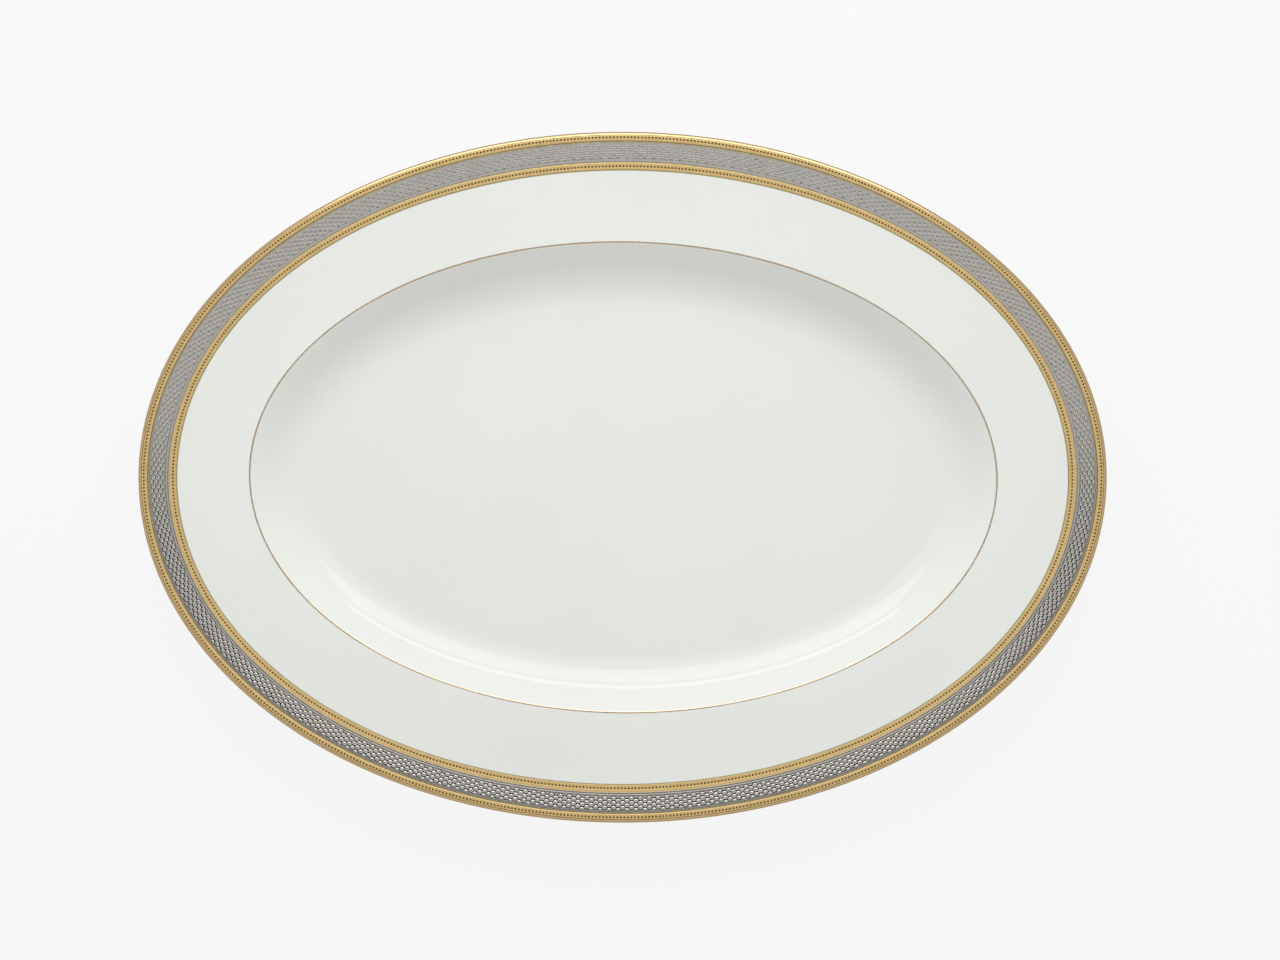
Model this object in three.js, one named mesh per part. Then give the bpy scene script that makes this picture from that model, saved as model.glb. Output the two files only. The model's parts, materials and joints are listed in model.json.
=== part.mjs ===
// Oval china serving platter: a rimmed porcelain dish with metal bands fired onto its rim.
//
// Millimetres, +Z up. The origin is the centre of the plane that the foot ring stands on,
// +X runs along the platter's length and +Y across it.
//
// Every piece is a closed profile turned about Z and then drawn out into an oval, so pieces
// share their rings and facets. A profile is written with d, the distance inward from the
// outer edge, which is the same all round the oval.

import * as THREE from "three";

// ---- Driving dimensions ---------------------------------------------------------------

const LENGTH = 356;
const WIDTH = 254;
const STATIONS = 64;

// Foot, floor and wall of the well. The wall's underside ends at the foot, at the angle FOOT_JOIN.
const FOOT_HEIGHT = 4.2;
const FOOT_OUTER_D = 61.2;
const FOOT_WIDTH = 5.2;
const FOOT_BEVEL = 0.9;
const FOOT_JOIN = -84;
const RECESS_Z = 3.7;
const FLOOR_TOP = 8.5;
const FLOOR_D = 62.8;
const WALL_ANGLE = 40;
const WALL_CURVE = 15.5;
const WALL_THICKNESS = 4.1;

// Rim, verge and lip.
const VERGE_D = 40.35;
const VERGE_RADIUS = 1.8;
const RIM_START_ANGLE = 2.5;
const RIM_END_ANGLE = 9;
const RIM_THICKNESS = 3.5;
const LIP_RADIUS = 1.3;
const UNDER_BEND = 9;

// The well sits a touch askew in the oval, as the clay moved in the kiln.
const WELL_TURN = -0.75;
const WELL_SHIFT = 0.25;

// Fired metal: its thickness here, and the clearance under and between the pieces.
const METAL = 0.3;
const GAP = 0.1;
const SEAT = METAL + GAP;
const BEAD_RISE = 0.2;

// Where each band ends, measured inward from the outer edge.
const OUTER_GOLD_END = 3.75;
const OUTER_PLATINUM_END = 4.65;
const BEADS_END = 9.75;
const INNER_PLATINUM_END = 11.05;
const INNER_GOLD_END = 14.2;
const VERGE_LINE_WIDTH = 0.65;

// How far the gilding of the lip reaches, as angles about the lip's centre, and the angle by
// which a seat in a round edge runs past its gold.
const LIP_GOLD_TOP = 86;
const LIP_GOLD_UNDER = -60;
const SEAT_SPARE = 4;

// Steps in each stretch of the body's outline.
const WALL_STEPS = 6;
const VERGE_STEPS = 2;
const RIM_STEPS = 4;
const BORDER_STEPS = 3;
const LIP_STEPS = 5;
const UNDER_STEPS = 4;

// ---- Derived sizes ----------------------------------------------------------------------

const HALF_LENGTH = LENGTH / 2;
const HALF_WIDTH = WIDTH / 2;
const FLOOR_R = HALF_WIDTH - FLOOR_D;
const FOOT_INNER_D = FOOT_OUTER_D + FOOT_WIDTH;
const CORE_R = HALF_WIDTH - FOOT_INNER_D;

const rad = THREE.MathUtils.degToRad;
const point = (r, z) => new THREE.Vector2(r, z);
const inward = (d, z) => point(HALF_WIDTH - d, z);

// A point on a circle, and a run of points along it. Angle 0 looks outward, 90 looks up.
function onCircle(centre, radius, angle) {
  return point(centre.x + radius * Math.cos(rad(angle)), centre.y + radius * Math.sin(rad(angle)));
}

function arc(centre, radius, from, to, steps) {
  const angles = Array.from({ length: steps + 1 }, (_, i) => from + ((to - from) * i) / steps);
  return angles.map((angle) => onCircle(centre, radius, angle));
}

// Slopes of a circle at an angle and of a line, and the point where two sloped lines meet.
const slopeAt = (angle) => Math.tan(rad(angle + 90));
const slopeBetween = (a, b) => (b.y - a.y) / (b.x - a.x);

function meet(a, slopeA, b, slopeB) {
  const r = (b.y - a.y + slopeA * a.x - slopeB * b.x) / (slopeA - slopeB);
  return point(r, a.y + slopeA * (r - a.x));
}

// The verge is the rounded crest between wall and rim. A normal is the way a surface faces.
const RIM_START_NORMAL = 90 + RIM_START_ANGLE;
const RIM_END_NORMAL = 90 + RIM_END_ANGLE;
const WALL_NORMAL = 90 + WALL_ANGLE;
const LINE_SPAN = THREE.MathUtils.radToDeg(VERGE_LINE_WIDTH / VERGE_RADIUS);
const crestR = HALF_WIDTH - VERGE_D + VERGE_LINE_WIDTH / 2;
const vergeR = crestR - VERGE_RADIUS * Math.cos(rad(RIM_START_NORMAL));

// The wall leaves the flat floor level in a hollow curve, then runs straight up to the verge.
const WALL_RADIUS = WALL_CURVE / Math.sin(rad(WALL_ANGLE));
const wallCentre = point(FLOOR_R, FLOOR_TOP + WALL_RADIUS);
const curveEnd = onCircle(wallCentre, WALL_RADIUS, WALL_ANGLE - 90);
const wallTopR = vergeR + VERGE_RADIUS * Math.cos(rad(WALL_NORMAL));
const wallTopZ = curveEnd.y + (wallTopR - curveEnd.x) * Math.tan(rad(WALL_ANGLE));
const vergeCentre = point(vergeR, wallTopZ - VERGE_RADIUS * Math.sin(rad(WALL_NORMAL)));
const crest = onCircle(vergeCentre, VERGE_RADIUS, RIM_START_NORMAL);

// The rim sweeps up from the crest to the lip in one wide, hollow arc.
const lipR = HALF_WIDTH - LIP_RADIUS;
const rimRun = lipR + LIP_RADIUS * Math.cos(rad(RIM_END_NORMAL)) - crest.x;
const RIM_RADIUS = rimRun / (Math.sin(rad(RIM_END_ANGLE)) - Math.sin(rad(RIM_START_ANGLE)));
const rimCentre = onCircle(crest, RIM_RADIUS, RIM_START_NORMAL);
const rimTop = (d) => rimCentre.y - Math.sqrt(RIM_RADIUS ** 2 - (HALF_WIDTH - d - rimCentre.x) ** 2);
const lipTouch = onCircle(rimCentre, RIM_RADIUS, RIM_END_ANGLE - 90);
const lipCentre = onCircle(lipTouch, LIP_RADIUS, RIM_END_ANGLE - 90);

// ---- Profiles -----------------------------------------------------------------------------

// The rim's surface lowered by depth, at one distance inward and along a run of it.
const onRim = (d, depth) => inward(d, rimTop(d) - depth);

function alongRim(start, end, depth, steps) {
  return Array.from({ length: steps + 1 }, (_, i) => onRim(start + ((end - start) * i) / steps, depth));
}

function upperProfile() {
  const seatStart = RIM_START_NORMAL + LINE_SPAN + SEAT_SPARE;
  const seatEnd = RIM_START_NORMAL - SEAT_SPARE;
  const lipSeatEnd = LIP_GOLD_UNDER - SEAT_SPARE;
  return [
    point(0, FLOOR_TOP),
    ...arc(wallCentre, WALL_RADIUS, -90, WALL_ANGLE - 90, WALL_STEPS),
    onCircle(vergeCentre, VERGE_RADIUS, WALL_NORMAL),
    onCircle(vergeCentre, VERGE_RADIUS, seatStart),
    ...arc(vergeCentre, VERGE_RADIUS - SEAT, seatStart, seatEnd, VERGE_STEPS),
    ...alongRim(VERGE_D - VERGE_LINE_WIDTH, INNER_GOLD_END + GAP, 0, RIM_STEPS),
    ...alongRim(INNER_GOLD_END + GAP, LIP_RADIUS * 2, SEAT, BORDER_STEPS),
    ...arc(lipCentre, LIP_RADIUS - SEAT, RIM_END_NORMAL, lipSeatEnd, LIP_STEPS),
    onCircle(lipCentre, LIP_RADIUS, lipSeatEnd - SEAT_SPARE),
  ];
}

function lowerProfile() {
  const bendAngle = WALL_ANGLE - 90;
  const wallUnder = arc(wallCentre, WALL_RADIUS + WALL_THICKNESS, bendAngle, FOOT_JOIN, UNDER_STEPS);
  const lipUnder = onCircle(lipCentre, LIP_RADIUS, -90);
  const bendD = VERGE_D - UNDER_BEND;
  const rimUnder = inward(bendD, rimTop(bendD) - RIM_THICKNESS);
  const corner = meet(wallUnder[0], slopeAt(bendAngle), rimUnder, slopeBetween(rimUnder, lipUnder));
  const turn = new THREE.QuadraticBezierCurve(rimUnder, corner, wallUnder[0]).getPoints(UNDER_STEPS);
  return [
    lipUnder,
    ...turn.slice(0, -1),
    ...wallUnder,
    inward(FOOT_OUTER_D, FOOT_HEIGHT),
    inward(FOOT_OUTER_D + FOOT_BEVEL / 2, FOOT_BEVEL),
    inward(FOOT_OUTER_D + FOOT_BEVEL, 0),
    inward(FOOT_INNER_D - FOOT_BEVEL, 0),
    inward(FOOT_INNER_D - FOOT_BEVEL / 2, FOOT_BEVEL),
    inward(FOOT_INNER_D, RECESS_Z),
    point(0, RECESS_Z),
  ];
}

// A flat band between two distances, crowned by rise between its edges.
function bandProfile(start, end, rise = 0) {
  const top = rise ? [onRim(end - METAL, -rise), onRim(start + METAL, -rise)] : [];
  const section = [onRim(end, METAL), onRim(end, 0), ...top, onRim(start, 0), onRim(start, METAL)];
  return [...section, section[0].clone()];
}

// A skin on a round edge between two angles.
function wrapProfile(centre, radius, from, to, steps) {
  const outer = arc(centre, radius, from, to, steps);
  const inner = arc(centre, radius - METAL, to, from, steps);
  return [...outer, ...inner, outer[0].clone()];
}

// ---- From a round profile to the oval -------------------------------------------------------

// Rings from the foot outward are all drawn out by the same amount, the core in proportion.
function drawnOut(radius) {
  return (HALF_LENGTH - HALF_WIDTH) * Math.min(1, radius / CORE_R);
}

// Share of the well's skew: none on the bands, all of it from the verge inward.
function skewShare(radius) {
  return 1 - THREE.MathUtils.smoothstep(radius, crestR, HALF_WIDTH - INNER_GOLD_END - GAP);
}

function toOval(geometry) {
  const place = geometry.getAttribute("position");
  for (let i = 0; i < place.count; i += 1) {
    const radius = Math.hypot(place.getX(i), place.getY(i));
    const along = radius > 0 ? place.getX(i) / radius : 0;
    const x = place.getX(i) + along * drawnOut(radius);
    const share = skewShare(radius);
    const turn = rad(WELL_TURN * share);
    const turnedX = x * Math.cos(turn) - place.getY(i) * Math.sin(turn);
    const turnedY = x * Math.sin(turn) + place.getY(i) * Math.cos(turn);
    place.setXY(i, turnedX + WELL_SHIFT * share, turnedY);
  }
  geometry.computeVertexNormals();
  return geometry;
}

function ovalPiece(name, profile, material) {
  const geometry = new THREE.LatheGeometry(profile.toReversed(), STATIONS);
  geometry.rotateX(Math.PI / 2);
  const mesh = new THREE.Mesh(toOval(geometry), material);
  mesh.name = name;
  return mesh;
}

// ---- Materials --------------------------------------------------------------------------------

const glaze = new THREE.MeshStandardMaterial({ color: 0xe8eae5, roughness: 0.1, metalness: 0 });
const gold = new THREE.MeshStandardMaterial({ color: 0xc7a56e, roughness: 0.3, metalness: 1 });
const platinum = new THREE.MeshStandardMaterial({ color: 0xa8a59e, roughness: 0.22, metalness: 1 });

// ---- Pieces -------------------------------------------------------------------------------------

const lipGold = wrapProfile(lipCentre, LIP_RADIUS, LIP_GOLD_TOP, LIP_GOLD_UNDER, LIP_STEPS);
const lineSpan = [RIM_START_NORMAL + LINE_SPAN, RIM_START_NORMAL];
const vergeGold = wrapProfile(vergeCentre, VERGE_RADIUS, ...lineSpan, VERGE_STEPS);

const platter = new THREE.Group();
platter.add(
  ovalPiece("porcelain_body", [...upperProfile(), ...lowerProfile()], glaze),
  ovalPiece("edge_gold_line", lipGold, gold),
  ovalPiece("outer_gold_band", bandProfile(LIP_RADIUS + GAP, OUTER_GOLD_END), gold),
  ovalPiece("outer_platinum_line", bandProfile(OUTER_GOLD_END + GAP, OUTER_PLATINUM_END), platinum),
  ovalPiece("beaded_platinum_band", bandProfile(OUTER_PLATINUM_END + GAP, BEADS_END, BEAD_RISE), platinum),
  ovalPiece("inner_platinum_line", bandProfile(BEADS_END + GAP, INNER_PLATINUM_END), platinum),
  ovalPiece("inner_gold_band", bandProfile(INNER_PLATINUM_END + GAP, INNER_GOLD_END), gold),
  ovalPiece("verge_gold_line", vergeGold, gold),
);

export default platter;
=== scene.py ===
"""An oval china serving platter: a white glazed body with fired gold and platinum on its rim.

Every piece is made of rings. A ring is named by d, its distance inward from the outer edge, which
is the same all round the oval. Sizes are in millimetres and become metres when a piece is made.
"""

import json
import math

import bpy
import numpy as np
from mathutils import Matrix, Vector


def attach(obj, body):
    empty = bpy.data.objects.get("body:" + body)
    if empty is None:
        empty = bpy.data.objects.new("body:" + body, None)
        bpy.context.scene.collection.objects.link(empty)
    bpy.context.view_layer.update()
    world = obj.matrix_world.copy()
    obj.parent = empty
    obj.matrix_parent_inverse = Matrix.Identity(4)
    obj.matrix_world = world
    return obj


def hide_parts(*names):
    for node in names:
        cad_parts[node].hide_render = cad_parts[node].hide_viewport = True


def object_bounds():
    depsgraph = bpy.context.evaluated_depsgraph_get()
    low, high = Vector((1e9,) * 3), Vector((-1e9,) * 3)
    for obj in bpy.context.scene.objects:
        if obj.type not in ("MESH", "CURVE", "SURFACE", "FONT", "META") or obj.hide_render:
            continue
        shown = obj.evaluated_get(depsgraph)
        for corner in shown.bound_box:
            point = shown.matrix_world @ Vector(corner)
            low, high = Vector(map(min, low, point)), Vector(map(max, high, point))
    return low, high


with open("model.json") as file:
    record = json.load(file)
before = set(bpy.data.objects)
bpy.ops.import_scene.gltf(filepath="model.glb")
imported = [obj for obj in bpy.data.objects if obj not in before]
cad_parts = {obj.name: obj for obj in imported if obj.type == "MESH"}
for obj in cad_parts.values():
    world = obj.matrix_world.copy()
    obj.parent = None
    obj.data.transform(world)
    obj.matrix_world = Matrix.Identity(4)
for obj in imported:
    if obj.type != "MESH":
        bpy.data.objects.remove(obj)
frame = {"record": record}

MM = 0.001
cad_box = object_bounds()

# ---- Sizes ---------------------------------------------------------------------------------------

HALF_LENGTH = cad_box[1].x / MM
HALF_WIDTH = cad_box[1].y / MM

# Foot. FOOT_JOIN is where on the wall's outer curve, as an angle, the foot begins. The two lists
# are the small curves where it meets the underside, as (outward, upward) in FOOT_ROUNDs.
FOOT_HEIGHT = 4.2
FOOT_OUTER_D = 61.2
FOOT_WIDTH = 5.2
FOOT_ROUND = 0.9
FOOT_JOIN = -84
FOOT_OUTER_CURVE = ((0.5, 0.3), (0.1, -0.3))
FOOT_INNER_CURVE = ((-0.15, -0.4), (-0.6, 0))

# Floor and wall of the well.
RECESS_Z = 3.7
FLOOR_D = 62.8
FLOOR_TOP = frame["record"]["mounts"][1]["pos_m"][2] / MM
WALL_ANGLE = 40
WALL_CURVE = 15.5
WALL_THICKNESS = 4.1

# Rim and verge.
VERGE_D = 40.35
VERGE_RADIUS = 1.8
VERGE_LINE_WIDTH = 0.65
RIM_START_ANGLE = 2.5
RIM_END_ANGLE = 9
RIM_THICKNESS = 3.5
UNDER_BEND = 9

# The lip is rounded over like an egg: how far in from the edge its upper and lower curves begin,
# and how far below and above the rim's two surfaces the edge's widest ring lies.
LIP_REACH = 2.0
LIP_DROP = 1.35
UNDER_REACH = 1.8
UNDER_RISE = 1.25

# The lip's gilding, from one angle on the lip to another. The border's seat goes on round the lip
# from LIP_SEAT_TOP and ends under the gilding, LIP_LAP short of its mean lower edge.
LIP_GOLD_TOP = 62
LIP_GOLD_UNDER = -58
LIP_SEAT_TOP = 80
LIP_LAP = 8

# The well sits a touch askew in the oval.
WELL_TURN = math.radians(-0.75)
WELL_SHIFT = 0.25

# The border's bands, outer edge and inner edge.
OUTER_GOLD = (1.25, 3.75)
OUTER_PLATINUM = (3.75, 4.68)
BEADS = (4.68, 9.72)
INNER_PLATINUM = (9.72, 11.05)
INNER_GOLD = (11.05, 14.2)

# How deep the porcelain's seat for the fired metal is, and a band's hidden sides in that seat.
SEAT = 0.38
SKIRT = 0.34

# How far the glaze laps over the border's inner edge.
BORDER_LAP = 0.02

# Punched dots: their counts and rings, how wide and deep one is, and the row that they lie in.
OUTER_DOTS = 734
OUTER_DOT_D = 2.04
INNER_DOTS = 694
INNER_DOT_D = 12.56
DOT_HALF = 0.3
DOT_DEPTH = 0.2
DOT_ROW_HALF = 0.5
BRIDGE_RISE = 0.05

# A dot's shape: its mouth and floor as shares of DOT_HALF, how deep its shoulder is, how much
# further its middle dips, and how far its corners stand out.
DOT_SIDES = 8
DOT_MOUTH = 1.15
DOT_FLOOR = 0.72
DOT_SHOULDER = 0.05
DOT_DIP = 0.03
DOT_CORNER = 1.12

# Beads: columns of three full beads alternate with columns of two full and two cut ones. GROUND is
# the height of the metal between them.
BEAD_COLUMNS = 560
BEAD_ROW_STEP = 0.84
BEAD_HALF_LENGTH = 0.98
BEAD_HALF_WIDTH = 0.68
BEAD_HEIGHT = 0.14
BEAD_SINK = 0.016
BEAD_UNEVENNESS = 0.002
GROUND = -0.05

# Reliefs of the bands: (ring, height above the rim) from the outer edge to the inner edge.
OUTER_GOLD_RELIEF = [
    (OUTER_GOLD[0], 0.0),
    (OUTER_DOT_D - DOT_ROW_HALF, 0.015),
    (OUTER_DOT_D + DOT_ROW_HALF, 0.015),
    (2.68, 0.04),
    (2.9, 0.045),
    (3.12, 0.035),
    (3.24, -0.01),
    (3.4, -0.035),
    (3.56, -0.035),
    (3.68, -0.01),
    (OUTER_GOLD[1], 0.01),
]
INNER_GOLD_RELIEF = [
    (INNER_GOLD[0], 0.0),
    (INNER_GOLD[0] + 0.1, -0.02),
    (INNER_GOLD[0] + 0.25, -0.03),
    (INNER_GOLD[0] + 0.36, 0.02),
    (INNER_GOLD[0] + 0.6, 0.045),
    (INNER_GOLD[0] + 0.85, 0.045),
    (INNER_DOT_D - DOT_ROW_HALF, 0.015),
    (INNER_DOT_D + DOT_ROW_HALF, 0.015),
    (INNER_GOLD[1] - 1.0, 0.04),
    (INNER_GOLD[1] - 0.75, 0.045),
    (INNER_GOLD[1] - 0.5, 0.035),
    (INNER_GOLD[1] - 0.4, -0.005),
    (INNER_GOLD[1] - 0.2, -0.02),
    (INNER_GOLD[1], 0.0),
]
OUTER_PLATINUM_RELIEF = [
    (OUTER_PLATINUM[0], -0.01),
    (OUTER_PLATINUM[0] + 0.08, 0.0),
    (OUTER_PLATINUM[0] + 0.22, 0.012),
    (OUTER_PLATINUM[0] + 0.36, 0.016),
    (OUTER_PLATINUM[0] + 0.5, 0.012),
    (OUTER_PLATINUM[0] + 0.66, 0.0),
    (OUTER_PLATINUM[0] + 0.72, GROUND),
    (OUTER_PLATINUM[1], GROUND),
]
INNER_PLATINUM_RELIEF = [
    (INNER_PLATINUM[0], GROUND),
    (INNER_PLATINUM[0] + 0.05, 0.03),
    (INNER_PLATINUM[0] + 0.18, 0.04),
    (INNER_PLATINUM[0] + 0.32, 0.044),
    (INNER_PLATINUM[0] + 0.46, 0.03),
    (INNER_PLATINUM[0] + 0.6, -0.005),
    (INNER_PLATINUM[0] + 0.72, -0.025),
    (INNER_PLATINUM[0] + 0.85, -0.03),
    (INNER_PLATINUM[1] - 0.12, -0.03),
    (INNER_PLATINUM[1], 0.0),
]

# Where the gold bands are painted darker: in the groove along the inner edge of each, as painted
# shade.
OUTER_GROOVE_SHADE = (3.2, 3.7)
INNER_GROOVE_SHADE = (INNER_GOLD[1] - 0.45, INNER_GOLD[1])

# How a brushed line wavers round the oval: (height, count, phase) of each wave. The lip's heights
# are in degrees, and the verge line's are shares of its width.
LIP_WAVES = ((2.2, 5, 1), (1.4, 13, 0), (0.8, 31, 2))
VERGE_WAVES = ((0.06, 7, 0), (0.04, 23, 1), (0.03, 61, 0))

SEED = 7

# ---- The camera ----------------------------------------------------------------------------------

VIEW_WIDTH = 470.2
VIEW_CENTRE = (6.4, -1.0)
LENS = 100
SENSOR = 36


def add_camera():
    """A camera straight above the platter, which takes in VIEW_WIDTH at the height of its lip."""
    data = bpy.data.cameras.new("camera")
    data.lens = LENS
    data.sensor_width = SENSOR
    camera = bpy.data.objects.new("camera", data)
    above = VIEW_WIDTH * LENS / SENSOR
    camera.location = (VIEW_CENTRE[0] * MM, VIEW_CENTRE[1] * MM, cad_box[1].z + above * MM)
    bpy.context.scene.collection.objects.link(camera)
    bpy.context.scene.camera = camera


# ---- Profiles ------------------------------------------------------------------------------------
# A profile is a list of (r, z), where r is the ring's half width across the platter.


def on_circle(centre, radius, angle):
    """A point on a circle. Angle 0 looks outward and 90 looks up."""
    turn = math.radians(angle)
    return centre[0] + radius * math.cos(turn), centre[1] + radius * math.sin(turn)


def arc(centre, radius, start, end, steps):
    """Points on a circle, from the angle start to the angle end."""
    angles = [start + (end - start) * i / steps for i in range(steps + 1)]
    return [on_circle(centre, radius, angle) for angle in angles]


def line(a, b, steps):
    """Points on a straight line from a to b."""
    return [
        tuple(a[k] + (b[k] - a[k]) * i / steps for k in (0, 1))
        for i in range(steps + 1)
    ]


def bezier(a, b, c, steps):
    """Points on a curve that leaves a towards b and reaches c from b."""
    shares = [i / steps for i in range(steps + 1)]
    return [
        tuple((1 - t) ** 2 * a[k] + 2 * t * (1 - t) * b[k] + t * t * c[k] for k in (0, 1))
        for t in shares
    ]


def meet(a, slope_a, b, slope_b):
    """Where two sloped lines cross."""
    r = (b[1] - a[1] + slope_a * a[0] - slope_b * b[0]) / (slope_a - slope_b)
    return r, a[1] + slope_a * (r - a[0])


def turned(angle):
    """Cosine and sine of an angle in degrees."""
    return math.cos(math.radians(angle)), math.sin(math.radians(angle))


RIM_START_NORMAL = 90 + RIM_START_ANGLE
WALL_NORMAL = 90 + WALL_ANGLE
LINE_SPAN = math.degrees(VERGE_LINE_WIDTH / VERGE_RADIUS)
FLOOR_R = HALF_WIDTH - FLOOR_D
FOOT_INNER_D = FOOT_OUTER_D + FOOT_WIDTH
CORE_R = HALF_WIDTH - FOOT_INNER_D
CREST_R = HALF_WIDTH - VERGE_D + VERGE_LINE_WIDTH / 2
VERGE_R = CREST_R - VERGE_RADIUS * turned(RIM_START_NORMAL)[0]

# The wall leaves the flat floor level in a hollow curve, then runs straight up to the verge.
WALL_RADIUS = WALL_CURVE / turned(WALL_ANGLE)[1]
WALL_CENTRE = (FLOOR_R, FLOOR_TOP + WALL_RADIUS)
CURVE_END = on_circle(WALL_CENTRE, WALL_RADIUS, WALL_ANGLE - 90)
WALL_TOP_R = VERGE_R + VERGE_RADIUS * turned(WALL_NORMAL)[0]
WALL_TOP_Z = CURVE_END[1] + (WALL_TOP_R - CURVE_END[0]) * math.tan(math.radians(WALL_ANGLE))
WALL_TOP = (WALL_TOP_R, WALL_TOP_Z)
VERGE_CENTRE = (VERGE_R, WALL_TOP[1] - VERGE_RADIUS * turned(WALL_NORMAL)[1])
CREST = on_circle(VERGE_CENTRE, VERGE_RADIUS, RIM_START_NORMAL)

# The rim sweeps up from the crest in one wide, hollow arc, and its top rolls over the lip.
RIM_RUN = HALF_WIDTH - CREST[0]
RIM_RADIUS = RIM_RUN / (turned(RIM_END_ANGLE)[1] - turned(RIM_START_ANGLE)[1])
RIM_CENTRE = on_circle(CREST, RIM_RADIUS, RIM_START_NORMAL)


def rim_z(d):
    """Height of the rim's upper surface at the ring d."""
    run = HALF_WIDTH - d - RIM_CENTRE[0]
    roll = max(0, 1 - d / LIP_REACH)
    drop = LIP_DROP * (1 - math.sqrt(1 - roll**2))
    return RIM_CENTRE[1] - math.sqrt(RIM_RADIUS**2 - run**2) - drop


def rim_slope(d, step=0.05):
    """How steeply the rim's upper surface rises outward at the ring d."""
    return (rim_z(d - step) - rim_z(d + step)) / (2 * step)


def along_rim(start, end, depth, steps):
    """The rim's surface, lowered by depth, from ring start to ring end."""
    rings = [start + (end - start) * i / steps for i in range(steps + 1)]
    return [(HALF_WIDTH - d, rim_z(d) - depth) for d in rings]


# The rim's underside: a straight line from where it leaves the wall's bend to the lip.
BEND_D = VERGE_D - UNDER_BEND
RIM_UNDER = (HALF_WIDTH - BEND_D, rim_z(BEND_D) - RIM_THICKNESS)
UNDER_SLOPE = (rim_z(0) - UNDER_RISE - RIM_UNDER[1]) / BEND_D


def lip_point(angle, depth=0.0):
    """A point on the lip: 90 is where its upper curve begins, 0 the edge, -90 its lower end."""
    cos, sin = turned(angle)
    if angle >= 0:
        d = LIP_REACH * (1 - cos)
        z = rim_z(d)
    else:
        d = UNDER_REACH * (1 - cos)
        z = rim_z(0) + UNDER_RISE * sin - UNDER_SLOPE * d
    return HALF_WIDTH - d - depth * cos, z - depth * sin


def along_lip(start, end, depth, steps):
    """Points on the lip, sunk by depth, from the angle start to the angle end."""
    angles = [start + (end - start) * i / steps for i in range(steps + 1)]
    return [lip_point(angle, depth) for angle in angles]


def upper_profile():
    """The glazed surface seen from above, from the centre to the lip. It drops under the border."""
    border = INNER_GOLD[1] - BORDER_LAP
    gold_end = LIP_GOLD_UNDER + LIP_LAP
    return [
        *line((0, FLOOR_TOP), (FLOOR_R, FLOOR_TOP), steps=8)[:-1],
        *arc(WALL_CENTRE, WALL_RADIUS, -90, WALL_ANGLE - 90, steps=26),
        *line(CURVE_END, WALL_TOP, steps=6)[1:],
        *arc(VERGE_CENTRE, VERGE_RADIUS, WALL_NORMAL, RIM_START_NORMAL, steps=12)[1:],
        *along_rim(VERGE_D - VERGE_LINE_WIDTH / 2, border, depth=0, steps=18)[1:],
        *along_rim(INNER_GOLD[1] - BORDER_LAP * 2, LIP_REACH, SEAT, steps=8),
        *along_lip(LIP_SEAT_TOP, gold_end, SEAT, steps=12),
        *along_lip(gold_end, -90, depth=0, steps=6),
    ]


def foot_profile():
    """The standing ring, outer side first, with a rounded edge on each side of its flat track."""
    outer = HALF_WIDTH - FOOT_OUTER_D
    inner = HALF_WIDTH - FOOT_INNER_D
    radius = FOOT_ROUND
    return [
        *[(outer + radius * out, FOOT_HEIGHT + radius * up) for out, up in FOOT_OUTER_CURVE],
        *arc((outer - radius, radius), radius, 0, -90, steps=6),
        *line((outer - radius, 0), (inner + radius, 0), steps=3)[1:-1],
        *arc((inner + radius, radius), radius, -90, -180, steps=6),
        *[(inner + radius * out, RECESS_Z + radius * up) for out, up in FOOT_INNER_CURVE],
    ]


def lower_profile():
    """The underside, from the lip to the centre."""
    bend_angle = WALL_ANGLE - 90
    under = arc(WALL_CENTRE, WALL_RADIUS + WALL_THICKNESS, bend_angle, FOOT_JOIN, steps=18)
    slope = math.tan(math.radians(bend_angle + 90))
    corner = meet(under[0], slope, RIM_UNDER, UNDER_SLOPE)
    foot = foot_profile()
    return [
        *line(lip_point(-90), RIM_UNDER, steps=12)[1:],
        *bezier(RIM_UNDER, corner, under[0], steps=14)[1:],
        *under[1:],
        *foot,
        *line((foot[-1][0], RECESS_Z), (0, RECESS_Z), steps=8)[1:],
    ]


# ---- From profiles to ovals ----------------------------------------------------------------------

# How many short steps a ring is measured in.
RING_STEPS = 20000


def skewed(x, y, r):
    """Turns and shifts the well, fully at the verge and inward, not at all on the border."""
    outside = HALF_WIDTH - INNER_GOLD[1]
    share = np.clip((r - CREST_R) / (outside - CREST_R), 0, 1)
    share = 1 - share * share * (3 - 2 * share)
    cos, sin = np.cos(WELL_TURN * share), np.sin(WELL_TURN * share)
    return x * cos - y * sin + WELL_SHIFT * share, x * sin + y * cos


def on_oval(r, z, angle):
    """Points of the rings r at heights z, at each angle. The three spread to one common shape."""
    r, z, angle = np.broadcast_arrays(np.asarray(r, float), np.asarray(z, float), angle)
    drawn_out = (HALF_LENGTH - HALF_WIDTH) * np.minimum(1, r / CORE_R)
    x, y = skewed((r + drawn_out) * np.cos(angle), r * np.sin(angle), r)
    return np.stack([x, y, z], axis=-1)


def even_angles(count, d, phase=0.0):
    """Angles that divide the ring at d into equal lengths."""
    fine = np.linspace(0, 2 * math.pi, RING_STEPS + 1)
    x, y = (HALF_LENGTH - d) * np.cos(fine), (HALF_WIDTH - d) * np.sin(fine)
    run = np.concatenate([[0], np.cumsum(np.hypot(np.diff(x), np.diff(y)))])
    wanted = (np.arange(count) + phase) / count * run[-1]
    return np.interp(wanted, run, fine)


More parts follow.
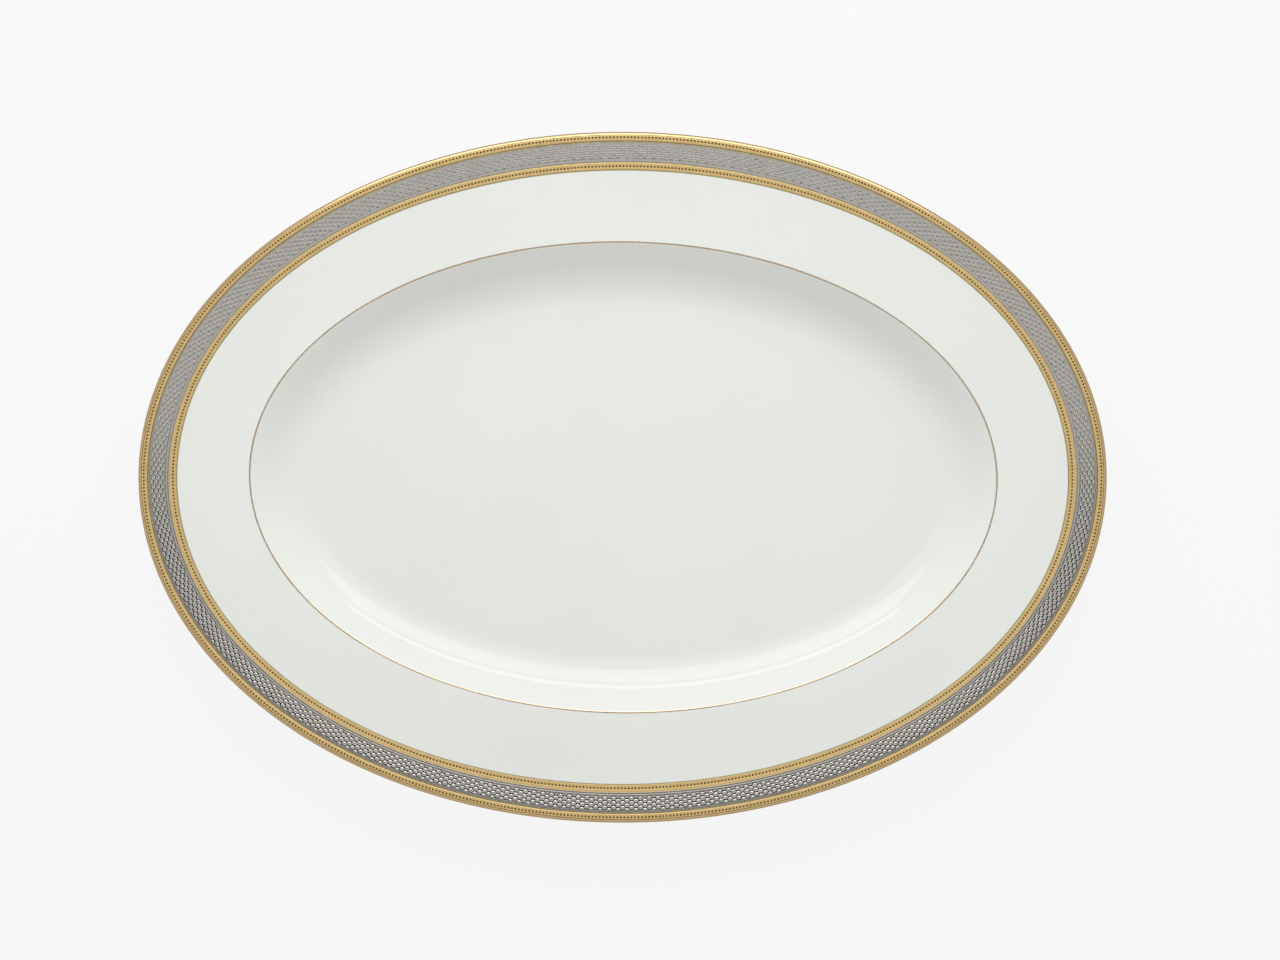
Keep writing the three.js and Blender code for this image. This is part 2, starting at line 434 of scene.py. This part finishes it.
def across(d, centre_d, angle):
    """Points at distance d on the lines that cross the ring centre_d squarely at each angle."""
    a, b = HALF_LENGTH - centre_d, HALF_WIDTH - centre_d
    cos, sin = np.cos(angle), np.sin(angle)
    long = np.hypot(b * cos, a * sin)
    normal = np.stack([b * cos / long, a * sin / long], axis=-1)
    reach = (centre_d - d) * (b * cos * cos + a * sin * sin) / long
    return np.stack([a * cos, b * sin], axis=-1) + normal * reach[..., None]


# ---- Meshes --------------------------------------------------------------------------------------

# An edge is sharp where the surface turns through more than this many degrees.
CREASE = 30


def quads(rows, columns, closed_rows=False):
    """Faces of a net of points whose columns close round the oval."""
    count = rows if closed_rows else rows - 1
    row, column = np.meshgrid(np.arange(count), np.arange(columns), indexing="ij")
    after = (column + 1) % columns
    here, above = row * columns, (row + 1) % rows * columns
    return np.stack([here + column, here + after, above + after, above + column], axis=-1)


def add_piece(name, points, faces, finishes, slot, finish_of_face=None):
    """One piece from points in millimetres, smooth, riding on the platter's body."""
    mesh = bpy.data.meshes.new(name)
    mesh.from_pydata((np.asarray(points) * MM).tolist(), [], faces)
    for finish in finishes:
        mesh.materials.append(finish)
    if finish_of_face is not None:
        indices = np.asarray(finish_of_face, dtype=np.int32)
        mesh.polygons.foreach_set("material_index", indices)
    mesh.shade_smooth()
    mesh.set_sharp_from_angle(angle=math.radians(CREASE))
    piece = bpy.data.objects.new(name, mesh)
    bpy.context.scene.collection.objects.link(piece)
    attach(piece, "root")
    return piece


def swept(profile, stations):
    """Points of a profile carried round the oval, a row of points for each one of the profile."""
    angle = np.linspace(0, 2 * math.pi, stations, endpoint=False)
    r, z = np.array(profile, float).T
    return on_oval(r[:, None], z[:, None], angle[None, :])


def wavering(angle, waves, start=0):
    """start plus the sum of the waves round the oval, at each angle."""
    return sum((height * np.sin(count * angle + phase) for height, count, phase in waves), start)


# ---- The porcelain -------------------------------------------------------------------------------

# How many columns go round the body, and up to what height its foot is bare clay.
BODY_STATIONS = 384
BISQUE_TOP = 0.35


def add_porcelain(glaze, bisque):
    """The body: its profile swept round, and a fan of faces that closes each centre."""
    profile = [*upper_profile(), *lower_profile()]
    points = swept(profile[1:-1], BODY_STATIONS)
    rows = len(profile) - 2
    net = quads(rows, BODY_STATIONS).reshape(-1, 4)
    heights = points[..., 2].reshape(-1)
    centre = on_oval([0, 0], [FLOOR_TOP, RECESS_Z], 0.0)
    top = rows * BODY_STATIONS
    bottom = top + 1
    last = (rows - 1) * BODY_STATIONS
    ring = [(j, (j + 1) % BODY_STATIONS) for j in range(BODY_STATIONS)]
    cap_top = [(top, here, after) for here, after in ring]
    cap_bottom = [(bottom, last + after, last + here) for here, after in ring]
    wear_and_shade = (heights[net].max(axis=1) < BISQUE_TOP).astype(int).tolist()
    piece = add_piece(
        "porcelain",
        np.concatenate([points.reshape(-1, 3), centre]),
        net[:, ::-1].tolist() + cap_top + cap_bottom,
        [glaze, bisque],
        "porcelain",
        wear_and_shade + [0] * (2 * BODY_STATIONS),
    )
    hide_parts("porcelain_body")


# ---- Strips of fired metal -----------------------------------------------------------------------

PLATINUM_STATIONS = 1100


def strip_rows(relief, centre_d, angle):
    """Points of a strip's rows. relief is a list of (d, height above the rim)."""
    rows = []
    for d, height in relief:
        flat = across(np.full_like(angle, d), centre_d, angle)
        rows.append(np.column_stack([flat, np.full_like(angle, rim_z(d) + height)]))
    return np.stack(rows)


def under_rows(start, end):
    """The hidden sides and underside that close a strip."""
    return [(end, -SKIRT), (start, -SKIRT)]


def add_strip(name, relief, finish, slot, stations):
    """A closed strip round the oval with the relief on top."""
    start, end = relief[0][0], relief[-1][0]
    middle = (start + end) / 2
    angle = even_angles(stations, middle)
    points = strip_rows([*relief, *under_rows(start, end)], middle, angle)
    faces = quads(len(points), stations, closed_rows=True).reshape(-1, 4)
    return add_piece(name, points.reshape(-1, 3), faces.tolist(), [finish], slot)


def dot_cell():
    """A punched dot: three rings of (along, across, height), and its middle point."""
    turns = np.arange(DOT_SIDES) * math.pi / (DOT_SIDES / 2)
    reach = np.where(np.arange(DOT_SIDES) % 2 == 1, DOT_CORNER, 1.0)
    cos, sin = np.cos(turns) * reach, np.sin(turns) * reach
    sizes = [
        (DOT_HALF * DOT_MOUTH, 0.0),
        (DOT_HALF, -DOT_SHOULDER),
        (DOT_HALF * DOT_FLOOR, -DOT_DEPTH),
    ]
    rings = [np.column_stack([cos * s, sin * s, np.full(DOT_SIDES, h)]) for s, h in sizes]
    return np.concatenate([*rings, [[0, 0, -DOT_DEPTH - DOT_DIP]]])


def place_cells(template, d, angle):
    """Copies of a template of (along, across, height) at the ring d, at each angle."""
    a, b = HALF_LENGTH - d, HALF_WIDTH - d
    cos, sin = np.cos(angle), np.sin(angle)
    long = np.hypot(b * cos, a * sin)
    outward = np.stack([b * cos / long, a * sin / long], axis=-1)
    along = np.stack([-outward[:, 1], outward[:, 0]], axis=-1)
    centre = np.stack([a * cos, b * sin], axis=-1)
    flat = (
        centre[:, None, :]
        + along[:, None, :] * template[None, :, 0, None]
        + outward[:, None, :] * template[None, :, 1, None]
    )
    heights = rim_z(d) + template[None, :, 1] * rim_slope(d) + template[None, :, 2]
    return np.concatenate([flat, np.broadcast_to(heights, flat.shape[:2])[..., None]], axis=-1)


def without_loose(points, faces):
    """The same mesh without the points that no face uses."""
    used = np.zeros(len(points), bool)
    used[np.concatenate([np.asarray(face) for face in faces])] = True
    new = np.cumsum(used) - 1
    return points[used], [[int(new[v]) for v in face] for face in faces]


def dotted_band(name, node, relief, dot_d, dots, finishes, phase, groove_shade):
    """A gold band: strips on each side of a row of dots, and the row itself as a line of cells.

    Each cell spans two columns of the net, and a dot lies at its middle. finishes are the band's
    gold, the dots' gold, and a darker gold for the rows in the groove, between its two given rings:
    that darker gold is painted shade.
    """
    columns = 2 * dots
    angle = even_angles(columns, dot_d, phase)
    outer = [(d, h) for d, h in relief if d < dot_d]
    inner = [(d, h) for d, h in relief if d > dot_d]
    rows = [*outer, (dot_d, BRIDGE_RISE), *inner, *under_rows(relief[0][0], relief[-1][0])]
    net = strip_rows(rows, dot_d, angle)
    net_faces = quads(len(rows), columns, closed_rows=True)
    row = len(outer)
    plain = np.ones(net_faces.shape[:2], bool)
    plain[row - 1 : row + 1] = False
    faces = net_faces[plain].tolist()
    shade = np.zeros(net_faces.shape[:2], int)
    seen = rows[:-2]
    for i, ((a, _), (b, _)) in enumerate(zip(seen, seen[1:])):
        if groove_shade[0] <= (a + b) / 2 <= groove_shade[1]:
            shade[i] = 2
    finish = shade[plain].tolist()

    cells = place_cells(dot_cell(), dot_d, angle[::2])
    first = len(rows) * columns
    sides = [(j, (j + 1) % DOT_SIDES) for j in range(DOT_SIDES)]
    up, level, down = (row - 1) * columns, row * columns, (row + 1) * columns
    for i in range(dots):
        here, before, after = 2 * i, (2 * i - 1) % columns, (2 * i + 1) % columns
        border = [
            level + after, up + after, up + here, up + before,
            level + before, down + before, down + here, down + after,
        ]
        base = first + i * len(cells[0])
        rings = [border]
        rings += [[base + DOT_SIDES * k + j for j in range(DOT_SIDES)] for k in range(3)]
        for k, (a, b) in enumerate(zip(rings, rings[1:])):
            faces += [(a[j], a[next_j], b[next_j], b[j]) for j, next_j in sides]
            finish += [0 if k < 1 else 1] * DOT_SIDES
        middle = base + DOT_SIDES * 3
        faces += [(rings[3][j], rings[3][next_j], middle) for j, next_j in sides]
        finish += [1] * DOT_SIDES
    # The row's own points under the dots belong to no face.
    points = np.concatenate([net.reshape(-1, 3), cells.reshape(-1, 3)])
    piece = add_piece(name, *without_loose(points, faces), finishes, "gold", finish)
    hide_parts(node)


def add_gold_bands(gold, pit, edge, pale_edge):
    """Both gold bands, each with a shallow channel for its dots and a low ridge beside it."""
    dotted_band(
        "outer_gold", "outer_gold_band", OUTER_GOLD_RELIEF, OUTER_DOT_D, OUTER_DOTS,
        [gold, pit, edge], phase=0.0, groove_shade=OUTER_GROOVE_SHADE,
    )
    dotted_band(
        "inner_gold", "inner_gold_band", INNER_GOLD_RELIEF, INNER_DOT_D, INNER_DOTS,
        [gold, pit, pale_edge], phase=0.5, groove_shade=INNER_GROOVE_SHADE,
    )


LIP_STATIONS = 720
LIP_STEPS = 20


def add_lip_gilding(gold):
    """Gold brushed round the lip by hand, so its lower edge wanders a little."""
    angle = np.linspace(0, 2 * math.pi, LIP_STATIONS, endpoint=False)
    reach = LIP_GOLD_UNDER + wavering(angle, LIP_WAVES) - LIP_GOLD_TOP
    shares = np.linspace(0, 1, LIP_STEPS + 1)
    sides = [(share, 0.0) for share in shares] + [(share, SKIRT) for share in shares[::-1]]
    rz = np.array([
        [lip_point(LIP_GOLD_TOP + here * share, depth) for here in reach]
        for share, depth in sides
    ])
    points = on_oval(rz[..., 0], rz[..., 1], angle[None, :])
    faces = quads(len(points), LIP_STATIONS, closed_rows=True).reshape(-1, 4)
    piece = add_piece("lip_gilding", points.reshape(-1, 3), faces.tolist(), [gold], "gold")
    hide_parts("edge_gold_line")


VERGE_STATIONS = 900
VERGE_STEPS = 8
VERGE_LINE_HEIGHT = 0.03


def verge_rows(radius, turn, angle):
    """Points on the verge's round, at this radius from its centre, at each turn about it."""
    r = VERGE_CENTRE[0] + radius * np.cos(turn)
    z = VERGE_CENTRE[1] + radius * np.sin(turn)
    return on_oval(r, z, angle[None, :])


def add_verge_gilding(gold):
    """A hairline of gold along the crest, of a slightly uneven width, with a low rounded top."""
    angle = np.linspace(0, 2 * math.pi, VERGE_STATIONS, endpoint=False)
    swell = wavering(angle, VERGE_WAVES, 1)
    steps = np.linspace(-1, 1, VERGE_STEPS + 1)[:, None]
    middle = RIM_START_NORMAL + LINE_SPAN / 2
    turn = np.radians(middle + steps * swell[None, :] * LINE_SPAN / 2)
    height = VERGE_LINE_HEIGHT * (1 - steps**2)
    outer = verge_rows(VERGE_RADIUS + height, turn, angle)
    inner = verge_rows(VERGE_RADIUS - SKIRT, turn[::-1], angle)
    points = np.concatenate([outer, inner])
    faces = quads(len(points), VERGE_STATIONS, closed_rows=True)[..., ::-1].reshape(-1, 4)
    piece = add_piece("verge_gilding", points.reshape(-1, 3), faces.tolist(), [gold], "gold")
    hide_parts("verge_gold_line")


def add_platinum_lines(platinum):
    """The plain lines beside the beads: the outer is a low crown, the inner a ridge and a flat."""
    for name, node, relief in (
        ("outer_platinum", "outer_platinum_line", OUTER_PLATINUM_RELIEF),
        ("inner_platinum", "inner_platinum_line", INNER_PLATINUM_RELIEF),
    ):
        piece = add_strip(name, relief, platinum, "platinum", PLATINUM_STATIONS)
        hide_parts(node)


# ---- Beads ---------------------------------------------------------------------------------------

# BEAD_RINGS are the sizes of a bead's rings, as shares of its outline. BEAD_SHAPE is how square the
# outline is, where 2 is an oval, and BEAD_CURVE how flat the top is, where 2 is a round dome.
BEAD_SIDES = 16
BEAD_RINGS = (1.0, 0.82, 0.58, 0.3)
BEAD_SHAPE = 2.2
BEAD_CURVE = 1.6
BEAD_BASE = GROUND - BEAD_SINK
BEAD_TOP = [[0, 0, BEAD_BASE + BEAD_HEIGHT]]
GROUND_STEPS = 8


def bead_rings(turns):
    """Rings of a low dome as points of (along, across, height), on a slightly squared oval."""
    cos, sin = np.cos(turns), np.sin(turns)
    reach = (np.abs(cos) ** BEAD_SHAPE + np.abs(sin) ** BEAD_SHAPE) ** (-1 / BEAD_SHAPE)
    outline = np.column_stack([cos * reach * BEAD_HALF_LENGTH, sin * reach * BEAD_HALF_WIDTH])
    rings = []
    for size in BEAD_RINGS:
        height = BEAD_BASE + BEAD_HEIGHT * (1 - size**BEAD_CURVE)
        rings.append(np.column_stack([outline * size, np.full(len(turns), height)]))
    return rings


def dome_faces(pairs, count):
    """Faces that join the rings of count points each, and the last ring to the point at the top."""
    last, top = (len(BEAD_RINGS) - 1) * count, len(BEAD_RINGS) * count
    faces = []
    for j, after in pairs:
        for a in range(0, last, count):
            faces.append((a + j, a + after, a + after + count, a + j + count))
        faces.append((last + j, last + after, top))
    return faces


def full_bead():
    """A bead's points and faces: nested rings, a point at the top and one face underneath."""
    turns = np.arange(BEAD_SIDES) * 2 * math.pi / BEAD_SIDES
    points = np.concatenate([*bead_rings(turns), BEAD_TOP])
    faces = dome_faces([(j, (j + 1) % BEAD_SIDES) for j in range(BEAD_SIDES)], BEAD_SIDES)
    faces.append(tuple(reversed(range(BEAD_SIDES))))
    return points, faces


def half_bead(side):
    """A bead cut along its middle by the band's edge: side 1 keeps its inner half, -1 its outer."""
    count = BEAD_SIDES // 2 + 1
    turns = -side * np.arange(count) * math.pi / (count - 1)
    points = np.concatenate([*bead_rings(turns), BEAD_TOP])
    faces = dome_faces([(j, j + 1) for j in range(count - 1)], count)
    last, top = (len(BEAD_RINGS) - 1) * count, len(BEAD_RINGS) * count
    up = tuple(range(0, last + 1, count))
    down = tuple(range(last + count - 1, 0, -count))
    faces.append((*up, top, *down))
    faces.append(tuple(range(count - 1, -1, -1)))
    return points, faces if side < 0 else [tuple(reversed(face)) for face in faces]


def spread(template, faces, offsets, d, angle, rng):
    """Copies of a bead at offsets across the band, at each angle, each a little different."""
    points, all_faces, first = [], [], 0
    for offset in offsets:
        shifted = template.copy()
        shifted[:, 1] += offset
        cells = place_cells(shifted, d, angle)
        lift = rng.normal(0, BEAD_UNEVENNESS, len(angle))
        cells[..., 2] += (template[:, 2] > 0) * lift[:, None]
        points.append(cells.reshape(-1, 3))
        for i in range(len(angle)):
            base = first + i * len(template)
            all_faces += [tuple(base + v for v in face) for face in faces]
        first += len(angle) * len(template)
    return np.concatenate(points), all_faces


def add_beads(platinum, shaded_ground):
    """The band's flat ground, its full beads, and the cut beads along its two edges. The ground is
    darker than the beads: painted shade between them.
    """
    start, end = BEADS
    middle = (start + end) / 2
    steps = range(GROUND_STEPS + 1)
    relief = [(start + (end - start) * i / GROUND_STEPS, GROUND) for i in steps]
    base = add_strip("bead_ground", relief, shaded_ground, "platinum", PLATINUM_STATIONS)
    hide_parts("beaded_platinum_band")

    rng = np.random.default_rng(SEED)
    angle = even_angles(BEAD_COLUMNS, middle)
    even = [-2 * BEAD_ROW_STEP, 0, 2 * BEAD_ROW_STEP]
    odd = [-BEAD_ROW_STEP, BEAD_ROW_STEP]
    bead, faces = full_bead()
    three, three_faces = spread(bead, faces, even, middle, angle[::2], rng)
    two, two_faces = spread(bead, faces, odd, middle, angle[1::2], rng)
    moved = [tuple(v + len(three) for v in face) for face in two_faces]
    points = np.concatenate([three, two])
    add_piece("beads", points, three_faces + moved, [platinum], "platinum")

    for name, side in (("outer_border_beads", 1), ("inner_border_beads", -1)):
        half, half_faces = half_bead(side)
        offset = side * 3 * BEAD_ROW_STEP
        points, faces = spread(half, half_faces, [offset], middle, angle[1::2], rng)
        add_piece(name, points, faces, [platinum], "platinum")


# ---- Materials -----------------------------------------------------------------------------------

# Two colours are a material's darkest and lightest. Sizes and depths are those of its noises.
GLAZE_COLOURS = ((0.782, 0.798, 0.766), (0.802, 0.815, 0.782))
GLAZE_ROUGHNESS = (0.05, 0.1)
GLAZE_IOR = 1.4
GLAZE_CLOUD_SIZE = 55
GLAZE_SHEEN_SIZE = 9
GLAZE_RIPPLE_SIZE = 14
GLAZE_RIPPLE_DEPTH = 0.012
GLAZE_SKIN_SIZE = 1.6
GLAZE_SKIN_DEPTH = 0.0012

# How much light sinks into the china under the glaze, and how far, in metres.
CHINA_SHARE = 0.08
CHINA_REACH = 0.002

BISQUE_COLOURS = ((0.5, 0.48, 0.43), (0.72, 0.7, 0.64))
BISQUE_ROUGHNESS = 0.85
BISQUE_STAIN_SIZE = 3
BISQUE_GRAIN_SIZE = 0.5
BISQUE_GRAIN_DEPTH = 0.02

# Fired metals: the darkest and lightest colour, the range of roughness, the depth of the grain,
# and the colour that the lip's edge darkens to, which is painted shade.
METALS = {
    "satin_gold": ((0.745, 0.54, 0.24), (0.825, 0.61, 0.285), (0.42, 0.52), 0.003, None),
    "burnished_gold": ((0.62, 0.49, 0.34), (0.68, 0.54, 0.38), (0.2, 0.3), 0.002, None),
    # The lip's gold darkens to its last colour towards the edge: painted shade.
    "lip_gold": (
        (0.73, 0.53, 0.275), (0.79, 0.59, 0.325), (0.16, 0.24), 0.002, (0.26, 0.15, 0.06),
    ),
    # The two gold edges colour the bands' grooves darker than the rest of the gold: painted shade.
    "outer_gold_groove_shade": ((0.26, 0.205, 0.11), (0.33, 0.265, 0.145), (0.4, 0.55), 0.004, None),
    "inner_gold_groove_shade": ((0.42, 0.35, 0.19), (0.50, 0.42, 0.23), (0.4, 0.55), 0.004, None),
    "punched_gold": ((0.18, 0.08, 0.02), (0.24, 0.115, 0.035), (0.5, 0.7), 0.004, None),
    "platinum_line": ((0.53, 0.50, 0.46), (0.59, 0.565, 0.52), (0.18, 0.26), 0.002, None),
    "platinum": ((0.60, 0.58, 0.543), (0.657, 0.638, 0.595), (0.12, 0.18), 0.002, None),
    # The ground between the beads is darker than the beads: painted shade.
    "platinum_ground_shade": (
        (0.41, 0.397, 0.372), (0.46, 0.447, 0.418), (0.09, 0.15), 0.001, None,
    ),
}
METAL_WASH_SIZE = 2.4
METAL_SHEEN_SIZE = 0.7
METAL_GRAIN_SIZE = 0.35

# The lip's gold is darkened brown below the first of these angles on the lip, and whole above the
# second. The brown is painted shade, for the dark that the edge mirrors from under the platter.
LIP_SHADE_ANGLES = (18, 60)


def map_range(tree, value, start, end, low, high, kind="LINEAR"):
    """value, mapped from start..end to low..high."""
    node = tree.nodes.new("ShaderNodeMapRange")
    node.interpolation_type = kind
    tree.links.new(value, node.inputs["Value"])
    numbers = {"From Min": start, "From Max": end, "To Min": low, "To Max": high}
    for key, number in numbers.items():
        node.inputs[key].default_value = number
    return node.outputs["Result"]


class Nodes:
    """A material's nodes: short calls to add one and to join two."""

    def __init__(self, name):
        self.material = bpy.data.materials.new(name)
        self.material.use_nodes = True
        self.tree = self.material.node_tree
        self.shader = self.tree.nodes["Principled BSDF"]
        self.place = self.tree.nodes.new("ShaderNodeTexCoord").outputs["Object"]

    def join(self, a, b):
        """Joins the output a to the input b."""
        self.tree.links.new(a, b)

    def set(self, **values):
        """Sets the shader's own inputs. An underscore stands for a space."""
        for key, value in values.items():
            self.shader.inputs[key.replace("_", " ")].default_value = value

    def feed(self, **values):
        """Joins outputs to the shader's inputs. An underscore stands for a space."""
        for key, value in values.items():
            self.join(value, self.shader.inputs[key.replace("_", " ")])

    def noise(self, size, detail=2.0, roughness=0.5):
        """Noise whose features are about size millimetres across."""
        node = self.tree.nodes.new("ShaderNodeTexNoise")
        node.inputs["Scale"].default_value = 1 / (size * MM)
        node.inputs["Detail"].default_value = detail
        node.inputs["Roughness"].default_value = roughness
        self.join(self.place, node.inputs["Vector"])
        return node.outputs["Fac"]

    def between(self, value, low, high, start=0.3, end=0.7):
        """value, mapped from start..end, where most of a noise lies, to low..high."""
        return map_range(self.tree, value, start, end, low, high)

    def cloud(self, size, detail, roughness=0.5):
        """The same noise, spread over 0 to 1."""
        return self.between(self.noise(size, detail, roughness), 0, 1)

    def mix(self, factor, low):
        """A colour mix that starts from low. Its other colour is still to be set."""
        node = self.tree.nodes.new("ShaderNodeMix")
        node.data_type = "RGBA"
        self.join(factor, node.inputs["Factor"])
        node.inputs["A"].default_value = (*low, 1)
        return node

    def blend(self, factor, low, high):
        """A colour between low and high."""
        node = self.mix(factor, low)
        node.inputs["B"].default_value = (*high, 1)
        return node.outputs["Result"]

    def towards_edge(self, colour, wear_and_shade):
        """A colour that turns to a brown painted shade as the lip rolls over towards its edge."""
        height = self.tree.nodes.new("ShaderNodeSeparateXYZ")
        self.join(self.place, height.inputs["Vector"])
        edge, top = (lip_point(angle)[1] * MM for angle in LIP_SHADE_ANGLES)
        node = self.mix(self.between(height.outputs["Z"], 0, 1, edge, top), wear_and_shade)
        self.join(colour, node.inputs["B"])
        return node.outputs["Result"]

    def bump(self, height, depth, before=None):
        """A bump of depth millimetres from a height of 0 to 1."""
        node = self.tree.nodes.new("ShaderNodeBump")
        node.inputs["Distance"].default_value = depth * MM
        self.join(height, node.inputs["Height"])
        if before is not None:
            self.join(before, node.inputs["Normal"])
        return node.outputs["Normal"]


def glaze_material():
    """Clear glossy glaze over warm white china: faint clouding, a soft ripple and a fine skin."""
    nodes = Nodes("glaze")
    ripple = nodes.bump(nodes.noise(GLAZE_RIPPLE_SIZE, detail=1), GLAZE_RIPPLE_DEPTH)
    nodes.feed(
        Base_Color=nodes.blend(nodes.cloud(GLAZE_CLOUD_SIZE, detail=3), *GLAZE_COLOURS),
        Roughness=nodes.between(nodes.noise(GLAZE_SHEEN_SIZE, detail=4), *GLAZE_ROUGHNESS),
        Normal=nodes.bump(nodes.noise(GLAZE_SKIN_SIZE, detail=2), GLAZE_SKIN_DEPTH, ripple),
    )
    nodes.set(IOR=GLAZE_IOR, Subsurface_Weight=CHINA_SHARE, Subsurface_Scale=CHINA_REACH)
    return nodes.material


def bisque_material():
    """The bare, ground track of the foot ring, a little grey from shelves and tables."""
    nodes = Nodes("bisque")
    stain = nodes.cloud(BISQUE_STAIN_SIZE, detail=5, roughness=0.65)
    grain = nodes.noise(BISQUE_GRAIN_SIZE, detail=4, roughness=0.7)
    nodes.feed(
        Base_Color=nodes.blend(stain, *BISQUE_COLOURS),
        Normal=nodes.bump(grain, BISQUE_GRAIN_DEPTH),
    )
    nodes.set(Roughness=BISQUE_ROUGHNESS)
    return nodes.material


def metal_material(name, low, high, rough, grain, wear_and_shade):
    """Fired metal: brushed on, burnished, and never quite even. The lip's turns brown at its edge:
    painted shade.
    """
    nodes = Nodes(name)
    colour = nodes.blend(nodes.cloud(METAL_WASH_SIZE, detail=4, roughness=0.6), low, high)
    if wear_and_shade is not None:
        colour = nodes.towards_edge(colour, wear_and_shade)
    nodes.feed(
        Base_Color=colour,
        Roughness=nodes.between(nodes.noise(METAL_SHEEN_SIZE, detail=3), *rough),
        Normal=nodes.bump(nodes.noise(METAL_GRAIN_SIZE, detail=3, roughness=0.6), grain),
    )
    nodes.set(Metallic=1.0)
    return nodes.material


# ---- Floor, light and world ----------------------------------------------------------------------

# FLOOR_SIZE is in metres. The floor lies FLOOR_GAP millimetres below the foot ring, so that the two
# flat faces never coincide.
FLOOR_SIZE = 6.0
FLOOR_GAP = 0.1
FLOOR_COLOURS = ((0.09, 0.09, 0.09), (0.1, 0.1, 0.1))
FLOOR_CLOUD_SIZE = 300
FLOOR_ROUGHNESS = 0.9
FLOOR_GLOW = 0.83

# Lamps: place and size in metres, and strength.
BACK_LAMP = ((0, 0.8, 0.45), (1.5, 0.7), 2.2)
HIGH_LAMP = ((0, 0.55, 0.65), (0.8, 0.36), 1.9)
STRIP_LAMP = ((0, 0.8, 0.42), (1.0, 0.12), 1.1)

# The room's brightness and colour, and the dark arch in it. In degrees: how far the arch is from
# straight above, how wide each half of it is dark and where that has faded out, and how far to the
# back its two ends come in, from none of it to all.
ROOM = 0.715
ROOM_COLOUR = (1, 1, 0.985)
ARCH = 0.02
ARCH_ANGLE = 10
ARCH_HALF_WIDTH = (4.5, 8.5)
ARCH_ENDS = (-6, 4)


def add_floor():
    """A plain pale floor that glows, so that it is as pale far off as it is near."""
    mesh = bpy.data.meshes.new("floor")
    half = FLOOR_SIZE / 2
    level = -FLOOR_GAP * MM
    square = ((-half, -half), (half, -half), (half, half), (-half, half))
    mesh.from_pydata([(x, y, level) for x, y in square], [], [(0, 1, 2, 3)])
    nodes = Nodes("floor")
    nodes.feed(Base_Color=nodes.blend(nodes.noise(FLOOR_CLOUD_SIZE, detail=2), *FLOOR_COLOURS))
    nodes.set(
        Roughness=FLOOR_ROUGHNESS, Emission_Color=(1, 1, 1, 1), Emission_Strength=FLOOR_GLOW
    )
    mesh.materials.append(nodes.material)
    floor = bpy.data.objects.new("floor", mesh)
    bpy.context.scene.collection.objects.link(floor)


def add_softbox(name, place, size, power, mirrored=True):
    """A lamp aimed at the platter. One that isn't mirrored lights it without showing in gloss."""
    data = bpy.data.lights.new(name, "AREA")
    data.shape = "RECTANGLE"
    data.size, data.size_y = size
    data.energy = power
    lamp = bpy.data.objects.new(name, data)
    lamp.location = place
    lamp.rotation_euler = (-Vector(place)).to_track_quat("-Z", "Y").to_euler()
    lamp.visible_glossy = mirrored
    bpy.context.scene.collection.objects.link(lamp)


def add_world():
    """A pale room. Overhead, a soft-edged dark arch runs round the back half of a small circle."""
    world = bpy.data.worlds.new("studio")
    world.use_nodes = True
    tree = world.node_tree

    def math_node(operation, a, b=None):
        node = tree.nodes.new("ShaderNodeMath")
        node.operation = operation
        for socket, value in zip(node.inputs, (a, b)):
            if isinstance(value, bpy.types.NodeSocket):
                tree.links.new(value, socket)
            elif value is not None:
                socket.default_value = value
        return node.outputs["Value"]

    def soft_step(value, ends, low, high):
        return map_range(tree, value, *ends, low, high, "SMOOTHSTEP")

    direction = tree.nodes.new("ShaderNodeSeparateXYZ")
    toward = tree.nodes.new("ShaderNodeTexCoord").outputs["Generated"]
    tree.links.new(toward, direction.inputs["Vector"])
    from_top = math_node("ARCCOSINE", direction.outputs["Z"])
    aside = math_node("ABSOLUTE", math_node("SUBTRACT", from_top, math.radians(ARCH_ANGLE)))
    band = soft_step(aside, [math.radians(angle) for angle in ARCH_HALF_WIDTH], 1, 0)
    half = soft_step(direction.outputs["Y"], [turned(angle)[1] for angle in ARCH_ENDS], 0, 1)
    shade = math_node("MULTIPLY", band, half)
    light = math_node("SUBTRACT", ROOM, math_node("MULTIPLY", shade, ROOM - ARCH))
    background = tree.nodes["Background"]
    background.inputs["Color"].default_value = (*ROOM_COLOUR, 1)
    tree.links.new(light, background.inputs["Strength"])
    bpy.context.scene.world = world


def set_film():
    """Shows the light as it is, with no film look."""
    bpy.context.scene.view_settings.view_transform = "Standard"
    bpy.context.scene.view_settings.look = "None"


# ---- The scene -----------------------------------------------------------------------------------


def main():
    add_camera()
    set_film()
    add_floor()
    add_world()
    add_softbox("back_softbox", *BACK_LAMP, mirrored=False)
    add_softbox("high_softbox", *HIGH_LAMP)
    add_softbox("strip_softbox", *STRIP_LAMP)

    metal = {name: metal_material(name, *look) for name, look in METALS.items()}
    add_porcelain(glaze_material(), bisque_material())
    add_lip_gilding(metal["lip_gold"])
    add_gold_bands(
        metal["satin_gold"], metal["punched_gold"],
        metal["outer_gold_groove_shade"], metal["inner_gold_groove_shade"],
    )
    add_platinum_lines(metal["platinum_line"])
    add_beads(metal["platinum"], metal["platinum_ground_shade"])
    add_verge_gilding(metal["burnished_gold"])


main()
